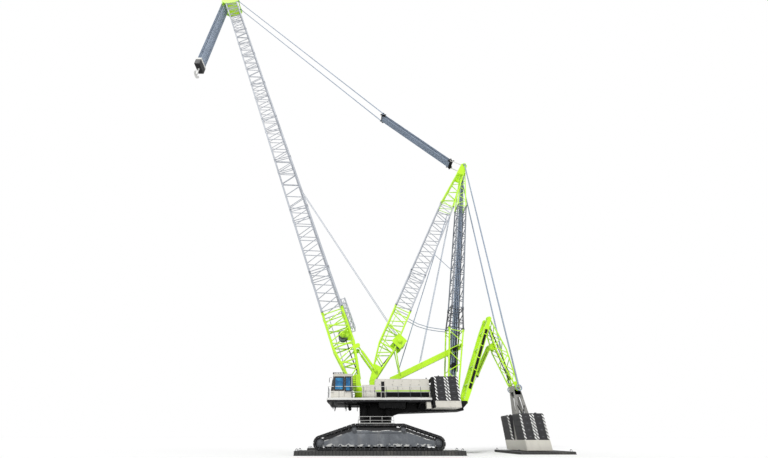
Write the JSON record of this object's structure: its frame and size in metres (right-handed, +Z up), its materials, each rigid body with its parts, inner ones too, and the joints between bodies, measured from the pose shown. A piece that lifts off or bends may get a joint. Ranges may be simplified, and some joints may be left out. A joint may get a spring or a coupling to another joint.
{
  "type": "1:10 scale model crawler crane",
  "caption": "Large lattice-boom crawler crane, scale model: main boom on a derrick mast, hanging derrick ballast on a folding V-frame, slewing platform on tracks.",
  "frame": {"origin": "slewing centre at the underside of the ground mats", "axes": "-X to the front of the superstructure and tracks, -Y to its left side with the cab, +Z up"},
  "size_m": [5.5351, 1.26, 9.6701],
  "materials": {
    "lime_paint": "gloss",
    "grey_paint": "satin",
    "white_lattice": "satin",
    "charcoal_cast": "satin",
    "black_paint": "satin",
    "track_steel": "matte",
    "frame_grey": "satin",
    "rope_steel": "satin",
    "mat_timber": "matte",
    "chrome_rod": "polished",
    "seat_fabric": "matte"
  },
  "bodies": {
    "undercarriage": {"ground_mats": "mat_timber", "track_left": "track_steel", "track_right": "track_steel", "track_frames": "frame_grey", "track_wheels": "frame_grey", "carbody": "black_paint"},
    "boom": {"boom_base": "lime_paint", "boom_head": "lime_paint", "boom_insert_1": "white_lattice", "boom_insert_2": "white_lattice", "boom_insert_3": "white_lattice", "boom_insert_4": "white_lattice", "boom_insert_5": "white_lattice", "boom_insert_6": "white_lattice", "boom_insert_7": "white_lattice", "boom_short_insert": "white_lattice", "boom_tip": "white_lattice"},
    "hoist_winch": {"hoist_winch_drum": "frame_grey"},
    "boom_winch": {"boom_winch_drum": "frame_grey"},
    "derrick_winch": {"derrick_winch_drum": "frame_grey"},
    "boom_pendants": {"boom_pendants": "rope_steel"},
    "upper_stay": {"upper_luffing_block": "black_paint", "mast_head_links": "white_lattice", "luffing_ropes": "rope_steel"},
    "lower_stay": {"lower_luffing_block": "black_paint"},
    "hoist": {"hoist_ropes": "rope_steel"},
    "hook_block": {"hook_block": "black_paint"},
    "hook": {"hook": "track_steel"},
    "backstop_barrels": {"backstop_barrels": "lime_paint"},
    "backstop_rods": {"backstop_rods": "lime_paint"},
    "v_inner": {"v_frame_inner_arm": "lime_paint"},
    "v_outer": {"v_frame_outer_arm": "lime_paint"},
    "ballast": {"ballast_tray": "grey_paint", "ballast_weights": "charcoal_cast", "ballast_pylon": "grey_paint"},
    "backstay": {"backstay_pendants": "rope_steel"},
    "v_cylinder_barrel": {"v_cylinder_barrel": "lime_paint"},
    "v_cylinder_rod": {"v_cylinder_rod": "chrome_rod"},
    "cab_door": {"cab_door": "grey_paint"},
    "superstructure": {"brace_pedestal": "lime_paint", "cab": "grey_paint", "control_cabinets": "grey_paint", "counterweight_trays": "grey_paint", "counterweights": "charcoal_cast", "derrick_base": "lime_paint", "derrick_foot_bracket": "lime_paint", "derrick_head": "lime_paint", "derrick_long_insert": "white_lattice", "derrick_short_insert": "white_lattice", "engine_house": "grey_paint", "mast_brace": "lime_paint", "operator_seat": "seat_fabric", "rear_mast_base": "lime_paint", "rear_mast_head": "lime_paint", "rear_mast_insert": "white_lattice", "rear_mast_middle": "white_lattice", "side_decks": "black_paint", "slewing_platform": "black_paint", "slewing_ring": "black_paint", "tank_house": "grey_paint"}
  },
  "joints": [
    {"name": "slew", "type": "hinge", "parent": "undercarriage", "child": "superstructure", "pos_m": [0, 0, 0.3], "axis": [0, 0, 1], "continuous": true},
    {"name": "boom_luff", "type": "hinge", "parent": "superstructure", "child": "boom", "pos_m": [-0.18, 0, 0.56], "axis": [0, 1, 0], "range_deg": [-40, 10]},
    {"name": "stay_swing", "type": "hinge", "parent": "superstructure", "child": "upper_stay", "pos_m": [1.575, 0, 3.96], "axis": [0, 1, 0], "range_deg": [-20.8, 5.57]},
    {"name": "stay_reeve", "type": "slide", "parent": "upper_stay", "child": "lower_stay", "axis": [0.9237, 0, -0.3832], "range_m": [-2.70938, 0.67884], "deforming": ["luffing_ropes"]},
    {"name": "pendant_pivot", "type": "hinge", "parent": "lower_stay", "child": "boom_pendants", "pos_m": [0.295, 0, 5.251], "axis": [0, 1, 0], "range_deg": [-24.1, 6.4]},
    {"name": "hoist_hang", "type": "hinge", "parent": "boom", "child": "hoist", "pos_m": [-3.57814, 0, 9.487], "axis": [0, 1, 0], "range_deg": [-10.5, 40.5]},
    {"name": "hook_hoist", "type": "slide", "parent": "hoist", "child": "hook_block", "axis": [0, 0, 1], "range_m": [-2.2, 1.9], "deforming": ["hoist_ropes"]},
    {"name": "hook_swivel", "type": "hinge", "parent": "hook_block", "child": "hook", "pos_m": [-3.57814, 0, 6.74], "axis": [0, 0, 1], "continuous": true},
    {"name": "backstop_swing", "type": "hinge", "parent": "superstructure", "child": "backstop_barrels", "pos_m": [0.008, 0, 0.791], "axis": [0, 1, 0], "range_deg": [-40.23, 10.43]},
    {"name": "backstop_stroke", "type": "slide", "parent": "backstop_barrels", "child": "backstop_rods", "axis": [-0.5947, 0, 0.8039], "range_m": [-0.05217, 0.2027]},
    {"name": "v_frame_swing", "type": "hinge", "parent": "superstructure", "child": "v_inner", "pos_m": [0.986, 0, 0.468], "axis": [0, 1, 0], "range_deg": [-2.58, 11.47]},
    {"name": "v_frame_spread", "type": "hinge", "parent": "v_inner", "child": "v_outer", "pos_m": [1.444, 0, 1.394], "axis": [0, -1, 0], "range_deg": [-7, 37]},
    {"name": "ballast_level", "type": "hinge", "parent": "v_outer", "child": "ballast", "pos_m": [1.602, 0, 0.612], "axis": [0, 1, 0], "range_deg": [-5.42, 26.53]},
    {"name": "backstay_swing", "type": "hinge", "parent": "superstructure", "child": "backstay", "pos_m": [1.575, 0, 3.96], "axis": [0, 1, 0], "range_deg": [-9.13, 2.13]},
    {"name": "v_cylinder_swing", "type": "hinge", "parent": "v_outer", "child": "v_cylinder_barrel", "pos_m": [1.395, 0, 1.062], "axis": [0, 1, 0], "range_deg": [-9.88, 50.07]},
    {"name": "v_cylinder_stroke", "type": "slide", "parent": "v_cylinder_barrel", "child": "v_cylinder_rod", "axis": [-0.5565, 0, -0.8309], "range_m": [-0.03023, 0.15119]},
    {"name": "cab_door_slide", "type": "slide", "parent": "superstructure", "child": "cab_door", "axis": [1, 0, 0], "range_m": [0, 0.086]},
    {"name": "hoist_winch_turn", "type": "hinge", "parent": "superstructure", "child": "hoist_winch", "pos_m": [0.41, 0, 0.56], "axis": [0, 1, 0], "continuous": true},
    {"name": "boom_winch_turn", "type": "hinge", "parent": "boom", "child": "boom_winch", "pos_m": [-0.37761, 0, 1.2009], "axis": [0, 1, 0], "continuous": true},
    {"name": "derrick_winch_turn", "type": "hinge", "parent": "superstructure", "child": "derrick_winch", "pos_m": [0.31004, 0, 1.11482], "axis": [0, 1, 0], "continuous": true}
  ],
  "couplings": [
    {"joint": "stay_swing", "follows": "boom_luff", "ratio": 0.50745},
    {"joint": "stay_reeve", "follows": "boom_luff", "m_per_rad": 3.878},
    {"joint": "pendant_pivot", "follows": "boom_luff", "ratio": 0.59003},
    {"joint": "hoist_hang", "follows": "boom_luff", "ratio": -1},
    {"joint": "backstop_swing", "follows": "boom_luff", "ratio": 0.99323},
    {"joint": "backstop_stroke", "follows": "boom_luff", "m_per_rad": -0.28748},
    {"joint": "v_frame_swing", "follows": "v_frame_spread", "ratio": 0.29648},
    {"joint": "ballast_level", "follows": "v_frame_spread", "ratio": 0.70352},
    {"joint": "backstay_swing", "follows": "v_frame_spread", "ratio": -0.23315},
    {"joint": "v_cylinder_swing", "follows": "v_frame_spread", "ratio": 1.3398},
    {"joint": "v_cylinder_stroke", "follows": "v_frame_spread", "m_per_rad": 0.23103}
  ]
}
